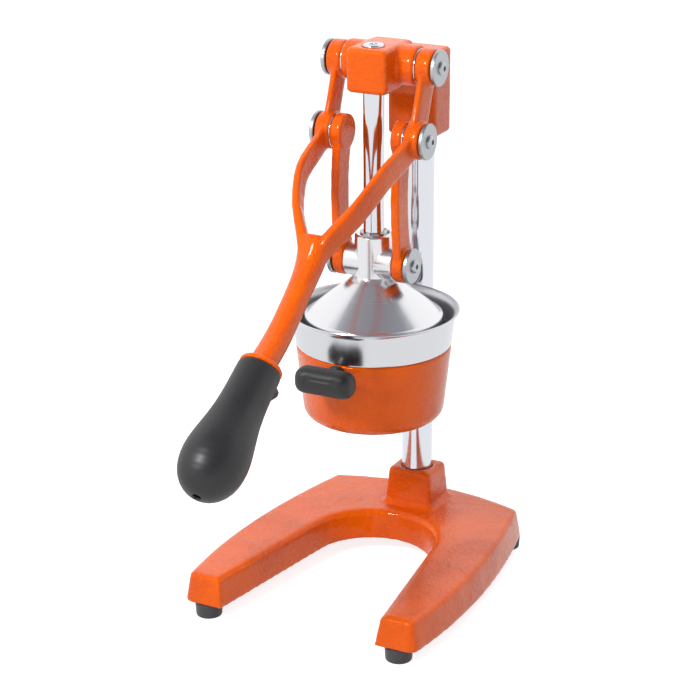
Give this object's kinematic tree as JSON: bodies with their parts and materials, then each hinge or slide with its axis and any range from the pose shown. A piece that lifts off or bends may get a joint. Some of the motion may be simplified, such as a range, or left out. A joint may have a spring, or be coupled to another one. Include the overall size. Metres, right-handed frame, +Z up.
{
  "type": "lever citrus juice press",
  "caption": "Lever citrus press: a forked lever and push links drive a sliding press cup down onto a ribbed reamer in a juice bowl on a column and horseshoe base.",
  "frame": {"origin": "on the table under the press axis, the axis of the ram rod, the press cup and the bowls", "axes": "+X to the user's right, -Y towards the user, +Z up; the lever is down"},
  "size_m": [0.2106, 0.3886, 0.4335],
  "materials": {
    "orange_cast": "gloss orange powder coat over cast metal, slightly rough",
    "chrome": "bright chrome plate",
    "zinc": "zinc plated turned steel",
    "steel": "bright steel",
    "dark_steel": "black oxide",
    "stainless": "satin spun stainless steel",
    "polished_alloy": "polished cast aluminium",
    "black_plastic": "satin moulded plastic",
    "rubber": "moulded rubber"
  },
  "bodies": {
    "frame": {"base": "orange_cast", "rubber_feet": "rubber", "foot_screws": "zinc", "column": "chrome", "column_bolt": "zinc", "column_washer": "zinc", "head": "orange_cast", "head_set_screws": "dark_steel", "top_pivot_pins": "steel", "top_pivot_washers": "chrome", "top_pivot_caps": "zinc", "top_pivot_screws": "steel", "bowl_holder": "orange_cast", "holder_set_screws": "dark_steel", "front_handle": "black_plastic", "front_handle_screw": "zinc", "juice_bowl": "stainless", "juice_spout": "stainless", "strainer": "stainless", "reamer": "polished_alloy"},
    "ram": {"press_cup": "polished_alloy", "ram_rod": "chrome", "rod_clip": "steel", "low_pivot_pins": "steel", "low_pivot_caps": "zinc", "low_pivot_screws": "steel"},
    "link_left": {"link_left": "orange_cast"},
    "link_right": {"link_right": "orange_cast"},
    "lever": {"lever": "orange_cast", "grip": "black_plastic", "grip_screw": "zinc", "mid_pivot_pins": "steel", "mid_pivot_washers": "chrome", "mid_pivot_caps": "zinc", "mid_pivot_screws": "steel"}
  },
  "joints": [
    {"name": "lever_hinge", "type": "hinge", "parent": "frame", "child": "lever", "pos_m": [0, 0.0179, 0.41592], "axis": [-1, 0, 0], "range_deg": [0, 90]},
    {"name": "ram_slide", "type": "slide", "parent": "frame", "child": "ram", "axis": [0, 0, 1], "range_m": [0, 0.07704]},
    {"name": "link_left_hinge", "type": "hinge", "parent": "ram", "child": "link_left", "pos_m": [0, 0, 0.2649], "axis": [1, 0, 0], "range_deg": [0, 18.91]},
    {"name": "link_right_hinge", "type": "hinge", "parent": "ram", "child": "link_right", "pos_m": [0, 0, 0.2649], "axis": [1, 0, 0], "range_deg": [0, 18.91]}
  ],
  "couplings": [
    {"joint": "ram_slide", "follows": "lever_hinge", "m_per_rad": 0.049042},
    {"joint": "link_left_hinge", "follows": "lever_hinge", "ratio": 0.21013},
    {"joint": "link_right_hinge", "follows": "lever_hinge", "ratio": 0.21013}
  ]
}
